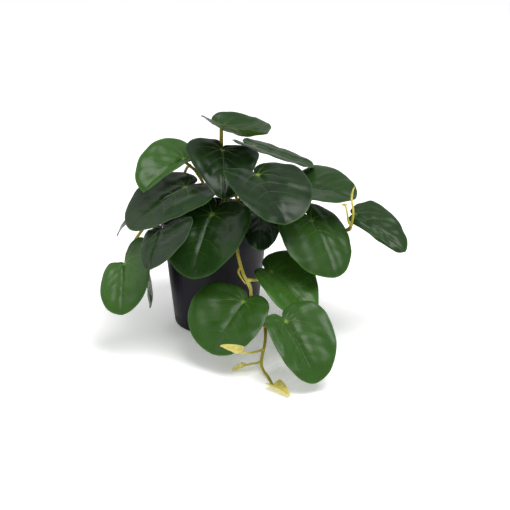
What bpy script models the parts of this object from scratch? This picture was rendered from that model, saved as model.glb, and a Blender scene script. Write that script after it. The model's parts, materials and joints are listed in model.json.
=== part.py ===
"""Potted trailing pothos: a thin plastic nursery pot, its soil, the stems, and one blade for each leaf.

Blender 4.5. Metres, +Z up, with the origin at the middle of the pot's foot and the viewer's side at -Y.
The rows of points below are in millimetres and degrees, and MM turns them to metres.
"""
import math

import bmesh
import bpy
from mathutils import Vector, noise

MM = 0.001

# Pot: a 9 cm nursery pot with a rolled rim
POT_HEIGHT = 96.0
RIM_RADIUS = 45.5
FOOT_RADIUS = 35.3
WALL = 1.4
FLOOR = 1.8
FOOT_ROUND = 3.0
LIP_HEIGHT = 5.0
LIP_OUT = 1.3
LIP_CHAMFER = 0.6
DRAIN_HOLES = 6
DRAIN_RADIUS = 3.5
DRAIN_RING = 24.0
DRAIN_CUT = 7.0
POT_SIDES = 48

# Soil: a heaped, lumpy plug that stands clear of the pot's wall and floor
CLEAR = 0.35
SOIL_EDGE = 93.5
SOIL_HEAP = 11.0
SOIL_LUMP = 1.6
HEAP_CENTRE = (2.0, 10.0)
LUMP_FREQUENCY = 0.11
EDGE_DROP = 3.0
LEVEL_POWER = 4
SOIL_RINGS = (0.2, 0.4, 0.6, 0.8, 0.94)
HOLE_ROOM = 0.5
ROOT_HEIGHTS = (78.0, 90.0, 100.0, 106.0)

# Leaf: radius from the petiole's joint, as a share of the joint-to-tip length, at angles from the tip
OUTLINE = ((0, 1.0), (14, 0.96), (32, 0.84), (60, 0.68), (90, 0.58), (120, 0.465), (148, 0.345),
           (167, 0.25), (180, 0.14))
BLADE_THICK = 0.8
BLADE_STEPS = 22
BLADE_RINGS = 3
CREASE = 0.04
JOINT_ROOM = 0.45
PETIOLE_LEAN = 0.6
PETIOLE_TURN = 9.0

STEM_RADIUS = 1.5
PETIOLE_RADIUS = 1.25
PETIOLE_TAPER = 0.9
STEM_STEP = 5.0

# Bud: its width at shares of its length, and its thickness
BUD_STATIONS = ((0.12, 0.6), (0.35, 1.0), (0.65, 0.85), (0.88, 0.4))
BUD_SIDES = 8
BUD_THICK_SHARE = 0.3
BUD_THICK_MOST = 1.5

# Each leaf: where the petiole joins, where the tip points, the roll about that line, how far the left and
# right halves fold up, how far the midrib bends down, the two halves' widths, the ripple of the margin,
# the length of the lobes behind the joint, how far each half narrows toward the tip, and how far the
# petiole's end leans toward the tip
LEAVES = {
    "crown": dict(base=(6, 5, 170), tip=(44, -24, 174), fold=(18, 32), droop=-40, wave=0.012,
                  lobe=(1.15, 1.15), lean=0.1),
    "left_top": dict(base=(-25.6, 1, 144.5), tip=(-57, -36, 128), roll=-10, fold=(28, 25),
                     wide=(0.42, 0.88), lobe=(0.6, 1.4)),
    "mid_top": dict(base=(7, -5, 154), tip=(9, -48, 125), fold=(-3, 9), wide=(1, 1.03), lobe=(0.6, 1.15),
                    taper=(0.4, 0.55)),
    "centre": dict(base=(36, -41, 143.5), tip=(58.5, -85, 116.5), roll=2, fold=(4, 16), wide=(1.08, 0.98),
                   lobe=(0.9, 0.6), taper=(-0.1, -0.2)),
    "right_top": dict(base=(33, 36, 146), tip=(84, 19, 133), roll=-2, fold=(1, 14), droop=-4,
                      wide=(0.72, 0.84), lobe=(0.8, 1.1)),
    "right_mid": dict(base=(70, 0, 120), tip=(117, -25, 119), roll=8, fold=(12, 10), wide=(1.15, 1.15),
                      lobe=(0.85, 0.85), taper=(0.35, 0)),
    "right_low": dict(base=(81, -30, 101), tip=(99, -69, 66), roll=-8, fold=(4, 0), wide=(0.79, 1),
                      lobe=(1.4, 0.8), taper=(0, -0.35)),
    "far_right": dict(base=(116.7, -21, 103.4), tip=(156, -52, 81.5), roll=10, fold=(6, -6),
                      wide=(0.8, 0.28), lobe=(0.5, 0.1), taper=(0.25, -0.3)),
    "low_left": dict(base=(-73, -49, 70), tip=(-73, -85, 40), roll=6, fold=(22, 4), wide=(0.84, 0.5),
                     lobe=(2.2, 0.15), taper=(-0.3, -0.8)),
    "left_back": dict(base=(-24, -15, 125), tip=(-68, -46, 99), roll=-4, fold=(6, 6), wide=(1.15, 0.93)),
    "left_front": dict(base=(-42, -59, 102), tip=(-48, -107, 87), fold=(28, -8), wide=(1, 0.4),
                       taper=(-0.3, 0)),
    "front": dict(base=(-1, -42, 110), tip=(-16, -80, 69), wide=(1.05, 1), lobe=(1, 1.25)),
    "low_mid": dict(base=(25, -80, 49), tip=(0, -110, 17), roll=-12, fold=(8, 8), wide=(0.83, 1.18),
                    lobe=(0.75, 0.75), taper=(-0.4, -0.2)),
    "low_right": dict(base=(47, -55, 65), tip=(80, -86, 39), roll=12, fold=(8, 13), wide=(1.13, 0.55),
                      lobe=(1.14, 0.65), taper=(0.42, -1)),
    "lowest": dict(base=(58, -111, 45), tip=(81, -146, 9), roll=8, fold=(20, 17), wide=(0.94, 0.62),
                   lobe=(0.75, 0.6), taper=(0, -0.3)),
    "under": dict(base=(39, -32, 107), tip=(38, -80, 93), fold=(-14, 2), wide=(0.54, 0.52)),
    "hanging_left": dict(base=(-62, -8, 56), tip=(-55, -18, 18), roll=-58, droop=5, wide=(0.9, 0.9)),
    "edge_left": dict(base=(-52, 6, 106), tip=(-84, 0, 77), roll=8, wide=(0.85, 0.85)),
    "back_left": dict(base=(-40, 44, 106), tip=(-66, 68, 83)),
    "back_upper": dict(base=(20, 47, 112), tip=(26, 83, 93), wide=(0.85, 0.85)),
    "back_right": dict(base=(60, 35, 109), tip=(94, 54, 93), wide=(0.85, 0.85)),
    "back_mid": dict(base=(40, 52, 82), tip=(64, 72, 52)),
    "back_low": dict(base=(8, 66, 60), tip=(-2, 80, 20)),
    "back_side": dict(base=(-16, 58, 90), tip=(-36, 80, 60)),
    "back_under": dict(base=(70, 14, 92), tip=(100, 34, 60), wide=(0.8, 0.8)),
}

# Each stem: where it stands in the soil, the points of its main run, the leaf at the end of the run, then
# its petioles as (leaf, points from the run), its bare shoots as (points, radius at the root, radius at
# the tip), and its small unopened leaves as (root, tip, width, roll)
STEMS = {
    "stem_crown": dict(
        root=(7, 5),
        run=((7, 6, 122), (6, 6, 145)),
        run_leaf="crown",
        petioles=(("right_top", ((7, 5.5, 114), (14, 15, 126), (22, 26, 137))),)),
    "stem_centre": dict(
        root=(12, -6),
        run=((11, -5, 120), (9, -2, 138)),
        run_leaf="mid_top",
        petioles=(("centre", ((11.5, -5.5, 114), (27, -17, 121), (37, -28, 128), (38.5, -35, 136))),)),
    "stem_upper_left": dict(
        root=(-5, 2),
        run=((-6, 1, 114), (-10, 0, 125), (-15, 0, 134), (-21, 2, 139)),
        run_leaf="left_top",
        petioles=(("left_back", ((-8.5, 0.4, 121), (-13, -4, 117))),
                  ("back_left", ((-20, 1.7, 138.5), (-22, 9, 136.5), (-25, 18, 130), (-29, 25, 117),
                                 (-32, 31, 103))))),
    "stem_left": dict(
        root=(-14, -6),
        run=((-19, -8, 112), (-30, -13, 111), (-42, -18, 105), (-52, -19, 99), (-60, -18, 89),
             (-68, -14, 76), (-72, -11, 62), (-71, -8, 50)),
        run_leaf="hanging_left",
        petioles=(("left_front", ((-44, -18.3, 104), (-46, -31, 99), (-43, -45, 93))),
                  ("low_left", ((-71.5, -11.5, 65), (-75, -22, 60), (-75, -33, 60))),
                  ("edge_left", ((-48, -18.6, 101.6), (-47, -10, 102), (-47, 0, 102))))),
    "stem_front": dict(
        root=(14, -18),
        run=((16, -25, 111), (18, -36, 110), (19, -47, 104), (19, -54, 92), (20, -56, 82), (22, -57, 73),
             (25, -59, 64), (30, -63, 55), (31, -66, 48), (35, -69, 38), (40, -73, 30), (42.5, -79, 24),
             (42, -89, 17), (40, -98, 11), (39, -106, 6.5), (41, -113, 3.4), (44, -120, 2.2),
             (46.5, -130, 1.9), (47.2, -135, 1.9)),
        petioles=(("front", ((16, -25, 111), (9, -31, 109), (3, -35, 105))),
                  ("low_right", ((27, -60.6, 60.4), (35, -59, 60), (41, -56, 60))),
                  ("low_mid", ((31, -66, 48), (31, -71, 45.5))),
                  ("lowest", ((41.5, -76, 26.8), (46, -87, 31), (51, -99, 35)))),
        shoots=((((22.6, -57.5, 71), (20.5, -60, 67.5), (23.5, -62.5, 62), (26.5, -63.5, 58)), 1.1, 0.5),
                (((41, -94, 13.8), (36, -103, 16), (29, -114, 19.6), (23.5, -120.4, 22.8)), 1.1, 0.8),
                (((39.3, -103.6, 8), (35, -104.5, 6.6), (30.8, -104.9, 6), (24.5, -107.2, 4.8)), 1.1, 0.8),
                (((28, -105.5, 5.4), (22.4, -106, 8)), 0.8, 0.4)),
        buds=(((24, -120, 22.6), (7, -131, 33.7), 8, 60),
              ((25, -107, 4.9), (15, -109.7, 2.2), 6.5, 30),
              ((46.8, -133, 2), (60.3, -154.5, 1.9), 14, 0))),
    "stem_right": dict(
        root=(18, 2),
        run=((24, 0, 112), (36, -3, 114), (48, -6, 113), (60, -9, 110), (74, -13, 106), (88, -16, 99),
             (100, -19, 91.5), (108.6, -20, 87.5)),
        petioles=(("right_mid", ((60, -9, 110), (64, -6, 114))),
                  ("right_low", ((72, -12.4, 106.6), (74, -19, 102))),
                  ("under", ((36, -3, 114), (37, -12, 109), (38, -22, 102.5))),
                  ("far_right", ((107, -19.8, 88.4), (111.5, -21, 90.5), (114.5, -22, 95))),
                  ("back_under", ((60, -9, 110), (58, -3, 100), (61, 3, 90)))),
        shoots=((((107, -19.8, 88.4), (112.5, -27, 92), (113, -36, 99), (114, -41, 111), (112.3, -41, 124)),
                 1.2, 0.9),
                (((113, -35, 98), (110.2, -39.5, 104), (108.9, -42, 112), (107.2, -42, 119)), 1.1, 0.7)),
        buds=(((112.6, -41, 122), (114.5, -41, 134), 4.5, 0),
              ((108, -42, 117.5), (104.2, -42, 119.5), 3.5, 60))),
    "stem_back": dict(
        root=(6, 18),
        run=((8, 24, 110), (12, 34, 109), (15, 43, 105), (17, 50, 98), (18, 53, 86), (16, 53, 74),
             (12, 52, 64)),
        run_leaf="back_low",
        petioles=(("back_upper", ((13, 37, 108), (17, 41, 106))),
                  ("back_right", ((12, 34, 109), (24, 32, 109), (38, 28, 106), (48, 25, 107))),
                  ("back_mid", ((18, 53, 88), (25, 51, 81), (32, 48, 77))),
                  ("back_side", ((16, 46, 103), (6, 50, 97), (-4, 51, 88))))),
}


def clear_scene():
    for thing in list(bpy.data.objects):
        bpy.data.objects.remove(thing, do_unlink=True)


def material(name, colour, roughness):
    made = bpy.data.materials.new(name)
    made.use_nodes = True
    shader = made.node_tree.nodes["Principled BSDF"]
    shader.inputs["Base Color"].default_value = (*colour, 1.0)
    shader.inputs["Roughness"].default_value = roughness
    return made


def add_mesh(name, points, faces, finish=None):
    mesh = bpy.data.meshes.new(name)
    mesh.from_pydata([Vector(p) * MM for p in points], [], faces)
    mesh.update()
    thing = bpy.data.objects.new(name, mesh)
    bpy.context.scene.collection.objects.link(thing)
    if finish:
        mesh.materials.append(finish)
    return thing


def keep_evaluated(thing):
    """Put the object's evaluated mesh in place of its own mesh and modifiers."""
    graph = bpy.context.evaluated_depsgraph_get()
    mesh = bpy.data.meshes.new_from_object(thing.evaluated_get(graph))
    thing.modifiers.clear()
    thing.data = mesh


def boolean(thing, operation, others):
    """Join or cut with every object in others, then remove them."""
    group = bpy.data.collections.new(thing.name + "_parts")
    bpy.context.scene.collection.children.link(group)
    for other in others:
        group.objects.link(other)
    modifier = thing.modifiers.new(operation.lower(), "BOOLEAN")
    modifier.operation = operation
    modifier.operand_type = "COLLECTION"
    modifier.collection = group
    keep_evaluated(thing)
    for other in others:
        bpy.data.objects.remove(other, do_unlink=True)
    bpy.data.collections.remove(group)


def turned(name, profile, sides, finish):
    """A body of revolution from (radius, height) points that start and end on the axis."""
    points = []
    rings = []
    for radius, height in profile:
        if radius == 0:
            rings.append([len(points)])
            points.append((0, 0, height))
            continue
        rings.append(list(range(len(points), len(points) + sides)))
        for i in range(sides):
            angle = 2 * math.pi * i / sides
            points.append((radius * math.cos(angle), radius * math.sin(angle), height))
    faces = []
    for upper, lower in zip(rings, rings[1:]):
        for i in range(sides):
            j = (i + 1) % sides
            if len(upper) == 1:
                faces.append((upper[0], lower[i], lower[j]))
            elif len(lower) == 1:
                faces.append((upper[j], upper[i], lower[0]))
            else:
                faces.append((upper[j], upper[i], lower[i], lower[j]))
    return add_mesh(name, points, faces, finish)


def wall_radius(height):
    return FOOT_RADIUS + (RIM_RADIUS - FOOT_RADIUS) * height / POT_HEIGHT


def arc(centre, radius, start, end, count):
    return [(centre[0] + radius * math.cos(math.radians(start + (end - start) * i / count)),
             centre[1] + radius * math.sin(math.radians(start + (end - start) * i / count)))
            for i in range(count + 1)]


def pot(finish):
    inner_floor = wall_radius(FLOOR) - WALL
    inner_top = RIM_RADIUS - WALL
    lip_radius = RIM_RADIUS + LIP_OUT
    lip_round = (lip_radius - inner_top) / 2
    lip_foot = POT_HEIGHT - LIP_HEIGHT
    profile = [(0, FLOOR), (inner_floor, FLOOR)]
    profile += [(inner_top, POT_HEIGHT - lip_round)]
    profile += arc((inner_top + lip_round, POT_HEIGHT - lip_round), lip_round, 180, 0, 4)[1:]
    profile += [(lip_radius, lip_foot + LIP_CHAMFER), (lip_radius - LIP_CHAMFER, lip_foot),
                (wall_radius(lip_foot), lip_foot)]
    profile += arc((wall_radius(FOOT_ROUND) - FOOT_ROUND, FOOT_ROUND), FOOT_ROUND, 0, -90, 3)
    profile += [(0, 0)]
    body = turned("pot", profile, POT_SIDES, finish)
    drains = []
    for i in range(DRAIN_HOLES):
        angle = 2 * math.pi * i / DRAIN_HOLES
        bpy.ops.mesh.primitive_cylinder_add(vertices=12, radius=DRAIN_RADIUS * MM, depth=DRAIN_CUT * MM)
        drain = bpy.context.object
        drain.location = (DRAIN_RING * MM * math.cos(angle), DRAIN_RING * MM * math.sin(angle), 0)
        drains.append(drain)
    boolean(body, "DIFFERENCE", drains)
    return body


def soil_height(x, y):
    """Height of the heap: a low dome off the middle, with lumps."""
    away = math.hypot(x - HEAP_CENTRE[0], y - HEAP_CENTRE[1]) / RIM_RADIUS
    dome = SOIL_HEAP * max(0.0, 1 - away * away)
    return SOIL_EDGE + dome + SOIL_LUMP * noise.noise(Vector((x, y, 0)) * LUMP_FREQUENCY)


def soil(finish, roots):
    floor = FLOOR + CLEAR
    edge = wall_radius(SOIL_EDGE - EDGE_DROP) - WALL - CLEAR
    profile = [(0, SOIL_EDGE)]
    profile += [(edge * share, SOIL_EDGE) for share in SOIL_RINGS]
    profile += [(edge, SOIL_EDGE - EDGE_DROP), (wall_radius(floor) - WALL - CLEAR, floor), (0, floor)]
    body = turned("soil", profile, POT_SIDES, finish)
    for point in body.data.vertices:
        if point.co.z > (SOIL_EDGE - EDGE_DROP / 2) * MM:
            x = point.co.x / MM
            y = point.co.y / MM
            fall = 1 - min(1.0, (math.hypot(x, y) / edge) ** LEVEL_POWER)
            point.co.z = (SOIL_EDGE + (soil_height(x, y) - SOIL_EDGE) * fall) * MM
    holes = []
    low = ROOT_HEIGHTS[0] - 1
    high = POT_HEIGHT + 2 * SOIL_HEAP
    for x, y in roots:
        bpy.ops.mesh.primitive_cylinder_add(vertices=10, radius=(STEM_RADIUS + HOLE_ROOM) * MM,
                                            depth=(high - low) * MM)
        hole = bpy.context.object
        hole.location = (x * MM, y * MM, (high + low) / 2 * MM)
        holes.append(hole)
    boolean(body, "DIFFERENCE", holes)
    return body


def outline_radius(angle):
    """The leaf's edge at an angle in degrees from the tip: a cubic through OUTLINE, alike on both sides."""
    knots = [(-a, r) for a, r in OUTLINE[2:0:-1]] + list(OUTLINE)
    knots += [(360 - a, r) for a, r in OUTLINE[-2:-4:-1]]
    at = abs((angle + 180) % 360 - 180)
    i = max(k for k in range(1, len(knots) - 2) if knots[k][0] <= at)
    (a0, r0), (a1, r1), (a2, r2), (a3, r3) = knots[i - 1:i + 3]
    step = a2 - a1
    slope_in = knot_slope((a0, r0), (a1, r1), (a2, r2)) * step
    slope_out = knot_slope((a1, r1), (a2, r2), (a3, r3)) * step
    t = (at - a1) / step
    return ((2 * t ** 3 - 3 * t ** 2 + 1) * r1 + (t ** 3 - 2 * t ** 2 + t) * slope_in
            + (3 * t ** 2 - 2 * t ** 3) * r2 + (t ** 3 - t ** 2) * slope_out)


def knot_slope(before, here, after):
    left = here[0] - before[0]
    right = after[0] - here[0]
    return ((here[1] - before[1]) / left * right + (after[1] - here[1]) / right * left) / (left + right)


def bend(x, y, leaf):
    """A flat leaf's point, x to the tip and y to the left in shares of its length, on the folded blade."""
    left = y >= 0
    if x < 0:
        x *= leaf.get("lobe", (1, 1))[0 if left else 1]
    across = abs(y) * leaf.get("wide", (1, 1))[0 if left else 1]
    across *= 1 - leaf.get("taper", (0, 0))[0 if left else 1] * max(x, 0)
    fold = math.radians(leaf.get("fold", (8, 8))[0 if left else 1])
    fold *= across / math.hypot(across, CREASE)
    out = across * math.cos(fold)
    up = across * math.sin(fold)
    up += leaf.get("wave", 0.02) * (x * x + y * y) * math.sin(3 * math.atan2(y, x))
    droop = math.radians(leaf.get("droop", 25))
    along = math.sin(droop * x) / droop + up * math.sin(droop * x)
    high = (math.cos(droop * x) - 1) / droop + up * math.cos(droop * x)
    return Vector((along, out if left else -out, high))


def leaf_axes(leaf):
    """The petiole's joint, the length, and the unit lines to the tip, to the left and out of the face."""
    base = Vector(leaf["base"])
    ahead = Vector(leaf["tip"]) - base
    length = ahead.length
    ahead.normalize()
    face = Vector((0, 0, 1))
    face = (face - face.dot(ahead) * ahead).normalized()
    roll = math.radians(leaf.get("roll", 0))
    face = face * math.cos(roll) + ahead.cross(face) * math.sin(roll)
    return base, length, ahead, face.cross(ahead), face


def blade_grid(leaf, steps, rings):
    """Points of the blade's middle surface: the joint, then rings of points out to the edge."""
    base, length, ahead, left, face = leaf_axes(leaf)
    tip = bend(1, 0, leaf)
    reach = math.hypot(tip.x, tip.z)
    points = []
    for ring in range(rings + 1):
        for step in range(steps if ring else 1):
            angle = 360 * step / steps
            radius = outline_radius(angle) * ring / rings
            turn = math.radians(angle)
            flat = bend(radius * math.cos(turn), radius * math.sin(turn), leaf)
            x = (flat.x * tip.x + flat.z * tip.z) / reach ** 2
            z = (flat.z * tip.x - flat.x * tip.z) / reach ** 2
            points.append(base + length * (x * ahead + flat.y / reach * left + z * face))
    return points


def blade(name, leaf, finish):
    points = blade_grid(leaf, BLADE_STEPS, BLADE_RINGS)
    faces = []
    for j in range(BLADE_STEPS):
        k = (j + 1) % BLADE_STEPS
        faces.append((0, 1 + j, 1 + k))
        for ring in range(1, BLADE_RINGS):
            inner = 1 + (ring - 1) * BLADE_STEPS
            outer = inner + BLADE_STEPS
            faces.append((inner + j, outer + j, outer + k))
            faces.append((inner + j, outer + k, inner + k))
    body = add_mesh("leaf_" + name, points, faces, finish)
    body.data.shade_smooth()
    solid = body.modifiers.new("thickness", "SOLIDIFY")
    solid.thickness = BLADE_THICK * MM
    solid.offset = 0
    return body


def smooth_path(points, step):
    """Points every few millimetres along a smooth curve through the given ones."""
    knots = [Vector(p) for p in points]
    knots = [2 * knots[0] - knots[1]] + knots + [2 * knots[-1] - knots[-2]]
    path = []
    for i in range(1, len(knots) - 2):
        p0, p1, p2, p3 = knots[i - 1:i + 3]
        count = max(1, round((p2 - p1).length / step))
        for k in range(count):
            t = k / count
            path.append(0.5 * (2 * p1 + (p2 - p0) * t + (2 * p0 - 5 * p1 + 4 * p2 - p3) * t ** 2
                               + (3 * p1 - p0 - 3 * p2 + p3) * t ** 3))
    path.append(knots[-2])
    return path


def to_leaf(points, leaf):
    """Carry a stem's points on to just under the leaf's joint."""
    base, length, ahead, left, face = leaf_axes(leaf)
    lean = leaf.get("lean", PETIOLE_LEAN)
    run_in = (face + ahead * lean).normalized()
    end = base - face * (BLADE_THICK / 2 + JOINT_ROOM + PETIOLE_RADIUS * lean / math.hypot(1, lean))
    reach = min(PETIOLE_TURN, (end - Vector(points[-1])).length / 2)
    return list(points) + [end - run_in * reach, end]


def tube(name, points, root_radius, tip_radius, finish):
    path = smooth_path(points, STEM_STEP)
    curve = bpy.data.curves.new(name, "CURVE")
    curve.dimensions = "3D"
    curve.bevel_depth = MM
    curve.bevel_resolution = 1
    curve.use_fill_caps = True
    line = curve.splines.new("POLY")
    line.points.add(len(path) - 1)
    for i, (dot, place) in enumerate(zip(line.points, path)):
        dot.co = (*(place * MM), 1)
        dot.radius = root_radius + (tip_radius - root_radius) * i / (len(path) - 1)
    made = bpy.data.objects.new(name, curve)
    bpy.context.scene.collection.objects.link(made)
    graph = bpy.context.evaluated_depsgraph_get()
    mesh = bpy.data.meshes.new_from_object(made.evaluated_get(graph))
    bpy.data.objects.remove(made, do_unlink=True)
    work = bmesh.new()
    work.from_mesh(mesh)
    bmesh.ops.remove_doubles(work, verts=work.verts, dist=1e-6)
    bmesh.ops.recalc_face_normals(work, faces=work.faces)
    work.to_mesh(mesh)
    work.free()
    mesh.materials.clear()
    mesh.materials.append(finish)
    body = bpy.data.objects.new(name, mesh)
    bpy.context.scene.collection.objects.link(body)
    return body


def bud(name, root, tip, width, roll, finish):
    """A small unopened leaf: a pointed lens from root to tip."""
    root = Vector(root)
    ahead = Vector(tip) - root
    length = ahead.length
    ahead.normalize()
    side = ahead.cross(Vector((0, 0, 1))).normalized()
    side = side * math.cos(math.radians(roll)) + ahead.cross(side) * math.sin(math.radians(roll))
    face = side.cross(ahead)
    thick = min(BUD_THICK_MOST, BUD_THICK_SHARE * width)
    points = [root]
    for along, share in BUD_STATIONS:
        for i in range(BUD_SIDES):
            angle = 2 * math.pi * i / BUD_SIDES
            points.append(root + ahead * length * along
                          + side * (width / 2 * share * math.cos(angle))
                          + face * (thick * (1 + share) / 2 * math.sin(angle)))
    points.append(root + ahead * length)
    faces = []
    last = len(points) - 1
    for i in range(BUD_SIDES):
        j = (i + 1) % BUD_SIDES
        faces.append((0, 1 + j, 1 + i))
        for k in range(len(BUD_STATIONS) - 1):
            here = 1 + k * BUD_SIDES
            faces.append((here + i, here + j, here + BUD_SIDES + j, here + BUD_SIDES + i))
        faces.append((last - BUD_SIDES + i, last - BUD_SIDES + j, last))
    body = add_mesh(name, points, faces, finish)
    work = bmesh.new()
    work.from_mesh(body.data)
    bmesh.ops.recalc_face_normals(work, faces=work.faces)
    work.to_mesh(body.data)
    work.free()
    return body


def stem(name, row, finish):
    run = [(*row["root"], height) for height in ROOT_HEIGHTS] + list(row["run"])
    if "run_leaf" in row:
        run = to_leaf(run, LEAVES[row["run_leaf"]])
    main = tube(name, run, STEM_RADIUS, PETIOLE_RADIUS, finish)
    pieces = []
    for leaf, points in row.get("petioles", ()):
        pieces.append(tube(name + "_" + leaf, to_leaf(points, LEAVES[leaf]), PETIOLE_RADIUS,
                           PETIOLE_TAPER * PETIOLE_RADIUS, finish))
    for points, root_radius, tip_radius in row.get("shoots", ()):
        pieces.append(tube(name + "_shoot", points, root_radius, tip_radius, finish))
    for root, tip, width, roll in row.get("buds", ()):
        pieces.append(bud(name + "_bud", root, tip, width, roll, finish))
    boolean(main, "UNION", pieces)
    main.data.shade_smooth()
    return main


def build():
    clear_scene()
    plastic = material("pot_plastic", (0.012, 0.011, 0.016), 0.45)
    earth = material("potting_soil", (0.016, 0.011, 0.008), 0.95)
    green = material("leaf_green", (0.03, 0.11, 0.02), 0.4)
    olive = material("stem_olive", (0.35, 0.31, 0.06), 0.5)
    pot(plastic)
    soil(earth, [row["root"] for row in STEMS.values()])
    for name, row in STEMS.items():
        stem(name, row, olive)
    for name, leaf in LEAVES.items():
        blade(name, leaf, green)


build()
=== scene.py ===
"""Looks of a small trailing pothos in a thin black nursery pot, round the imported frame.

Points are in millimetres in the part's own frame and MM turns them to metres. Leaf shares are of the
length from the petiole's joint to the tip: x runs to the tip and y to the leaf's left.
"""
import json
import math
import random

import bmesh
import bpy
import numpy as np
from mathutils import Euler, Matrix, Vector, noise

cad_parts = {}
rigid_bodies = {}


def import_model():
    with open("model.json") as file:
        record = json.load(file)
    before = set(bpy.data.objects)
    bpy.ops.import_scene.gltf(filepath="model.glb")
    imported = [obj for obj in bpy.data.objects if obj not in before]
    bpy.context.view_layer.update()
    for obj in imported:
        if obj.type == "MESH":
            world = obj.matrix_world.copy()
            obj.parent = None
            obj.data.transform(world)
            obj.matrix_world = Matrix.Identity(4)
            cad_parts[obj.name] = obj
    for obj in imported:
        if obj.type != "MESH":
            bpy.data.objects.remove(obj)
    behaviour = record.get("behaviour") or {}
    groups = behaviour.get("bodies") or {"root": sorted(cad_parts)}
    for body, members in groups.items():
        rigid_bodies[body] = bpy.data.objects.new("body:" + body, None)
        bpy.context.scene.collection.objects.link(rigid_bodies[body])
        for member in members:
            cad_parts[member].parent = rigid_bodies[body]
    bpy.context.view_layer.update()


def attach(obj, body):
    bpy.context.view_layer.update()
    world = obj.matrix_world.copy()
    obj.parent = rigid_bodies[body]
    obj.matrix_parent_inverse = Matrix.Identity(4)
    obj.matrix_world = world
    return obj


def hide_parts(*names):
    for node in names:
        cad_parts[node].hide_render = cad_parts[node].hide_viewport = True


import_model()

MM = 0.001
BODY = "root"

# Photograph: frame in pixels, focal length in pixels, where the camera stood, and the nearest thing it
# shows in metres
FRAME_PX = 510
FOCAL_PX = 1317
SENSOR_MM = 36.0
CAMERA_MM = (34.0, -1058.6, 449.3)
PITCH_DEG = 20.2
CLIP_START = 0.01

# Studio in metres: the soft lights as (name, place, size, power), the floor, and the dome's brightest
# direction and brightness
LIGHTS = (("key", (0.5, -0.55, 1.85), 1.2, 31.0),
          ("left_fill", (-1.4, 0.3, 1.5), 1.6, 7.0))
LIGHT_AIM = Vector((0, 0, 0.08))
FLOOR_GLOW = 0.22
DOME_BRIGHTEST = (-0.25, 0.2, 0.95)
DOME_LOW = 0.42
DOME_HIGH = 0.6
DOME_FADE = (-0.5, 0.9)
FLOOR_SIZE = 12.0
FLOOR_PLACE = (0, 1.5, -0.0002)

# Pot: the wall is a cone from the foot to the rim, with a shallow ring near the foot
POT_HEIGHT = 96.0
RIM_RADIUS = 45.5
FOOT_RADIUS = 35.3
WALL = 1.4
WALL_HEIGHTS = (20, 40, 60, 80)
POT_FLOOR = 1.8
INNER_CORNER = 1.5
FOOT_ROUND = 3.0
FOOT_FLAT = 30.0
LIP_HEIGHT = 5.0
LIP_OUT = 1.3
LIP_EDGE = 0.6
LIP_ROOT = 0.3
RING_TOP = 9.3
RING_FOOT = 8.1
RING_SLOPE = 0.3
RING_DEPTH = 0.25
DRAIN_HOLES = 6
DRAIN_RADIUS = 3.5
DRAIN_RING = 24.0
DRAIN_SIDES = 32
POT_SIDES = 144
POT_SHARP_DEG = 50

# Soil: its grains are rows of (height, noise steps in a millimetre, layer of the noise), and a crumb's
# size, squeeze and spin are drawn between limits
CLEAR = 0.35
SOIL_EDGE = 93.5
SOIL_SIDE = 3.0
SOIL_RINGS = 40
SOIL_HEAP = 11.0
SOIL_LUMP = 1.6
LUMP_PITCH = 0.11
HEAP_CENTRE = (2.0, 10.0)
SOIL_GRAINS = ((0.7, 0.45, 5), (0.4, 1.1, 9))
PEAT_CRUMBS = 420
PEAT_CRUMB_SIZE = 1.3
BARK_CRUMBS = 140
BARK_CRUMB_SIZE = 1.5
CRUMB_SCALES = (0.5, 1.2)
CRUMB_SQUEEZE = (0.6, 1.25)
CRUMB_SPIN = 6.28
CRUMB_NOISE = 90
CRUMB_PITCH = 1.3
CRUMB_ROUGH = 0.45
CRUMB_SEAT = 0.25
CRUMB_REACH = 0.96
CRUMB_SEED = 7
ROOT_HEIGHTS = (88.0, 100.0, 106.0)

# Leaf blade: its outline as (degrees from the tip, share of the length), its thickness in millimetres, the
# share across in which the fold turns up, the ripples of the margin, and the midrib's bend in degrees
OUTLINE = ((0, 1.0), (14, 0.96), (32, 0.84), (60, 0.68), (90, 0.58), (120, 0.465), (148, 0.345),
           (167, 0.25), (180, 0.14))
CAD_THICK = 0.8
BLADE_THICK = 0.55
THIN_POWER = 14
BLADE_STEPS = 144
STEP_CROWDING = 0.15
RING_SHARES = tuple(i / 26 for i in range(1, 25)) + (0.955, 0.975, 0.988, 0.996, 1.0)
CREASE = 0.04
WAVE = 0.02
WAVES = 3
DROOP = 25

# Veins in shares of the length: side veins leave the midrib every gap and bend to the tip, and spokes leave
# the joint behind the angles in REAR
SIDE_VEIN_GAP = 0.2
VEIN_LEAN = 0.3
VEIN_CURVE = 1.2
SPOKE_GAP = math.radians(38)
SPOKE_BEND = 0.9
REAR = (0.7, 1.3)
LEAF_MM = 50.0

# Relief of the blade in millimetres: heights, places and widths across, with swells as (size, height), then
# where each feature fades in or out, in millimetres or in shares
GROOVE_DEPTH = 0.5
GROOVE_WIDTH = 0.9
SHOULDER_HEIGHT = 0.45
SHOULDER_PLACE = 3.6
SHOULDER_WIDTH = 2.6
PILLOW = 0.22
SWELLS = ((17.0, 0.3), (29.0, 0.6))
EDGE_DIP = 0.7
RIB_FADE = (-0.02, 0.05)
PILLOW_FADE = (0.4, 4.5)
PILLOW_END = (0.7, 0.98)
SPOKE_FADE = (1.0, 8.0)
SWELL_FADE = (0.05, 0.3)
EDGE_FADE = (0.85, 1.0)

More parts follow.
